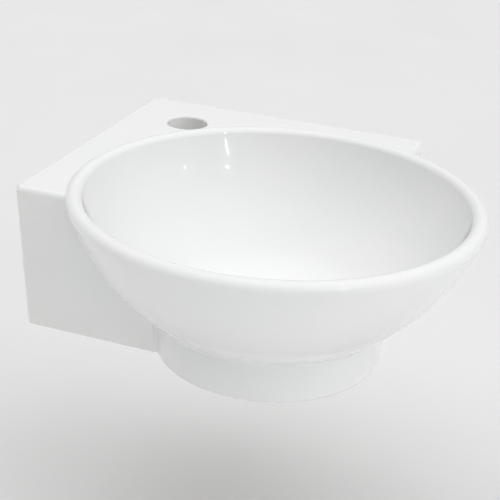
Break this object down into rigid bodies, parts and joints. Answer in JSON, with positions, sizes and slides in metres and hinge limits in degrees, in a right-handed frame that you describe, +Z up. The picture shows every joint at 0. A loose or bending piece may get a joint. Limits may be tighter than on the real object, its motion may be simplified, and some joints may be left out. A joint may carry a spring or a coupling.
{
  "type": "wall hung corner basin",
  "caption": "Round-bowled hand basin hung in the corner of two walls, in glazed china, with a tap hole, a push-open waste and wall bolts.",
  "frame": {"origin": "where the two wall faces meet, at the height of the deck", "axes": "+Z up, +X along the rear wall, -Y along the left wall; the basin lies at positive x and negative y"},
  "size_m": [0.4068, 0.4068, 0.163],
  "materials": {
    "china": "gloss glaze",
    "zinc_steel": "zinc plated",
    "nylon": "moulded",
    "chromed_brass": "bright plated",
    "white_rubber": "soft",
    "black_rubber": "soft",
    "white_plastic": "moulded",
    "brass": "turned",
    "steel": "turned",
    "spring_steel": "drawn"
  },
  "bodies": {
    "basin": {"basin_body": "china", "hanger_bolts": "zinc_steel", "bolt_bushes": "nylon", "bolt_washers": "zinc_steel", "bolt_nuts": "zinc_steel", "waste_body": "chromed_brass", "flange_gasket": "white_rubber", "cone_gasket": "black_rubber", "slip_washer": "white_plastic", "back_nut": "brass", "cartridge_barrel": "brass", "cartridge_end_plug": "white_plastic", "cartridge_spring": "spring_steel"},
    "plug": {"plug_cap": "chromed_brass", "plug_seal": "black_rubber", "cartridge_plunger": "steel", "cartridge_latch_ring": "white_plastic"}
  },
  "joints": [
    {"name": "plug_lift", "type": "slide", "parent": "basin", "child": "plug", "axis": [0, 0, 1], "range_m": [0, 0.009], "deforming": ["cartridge_spring"]}
  ]
}
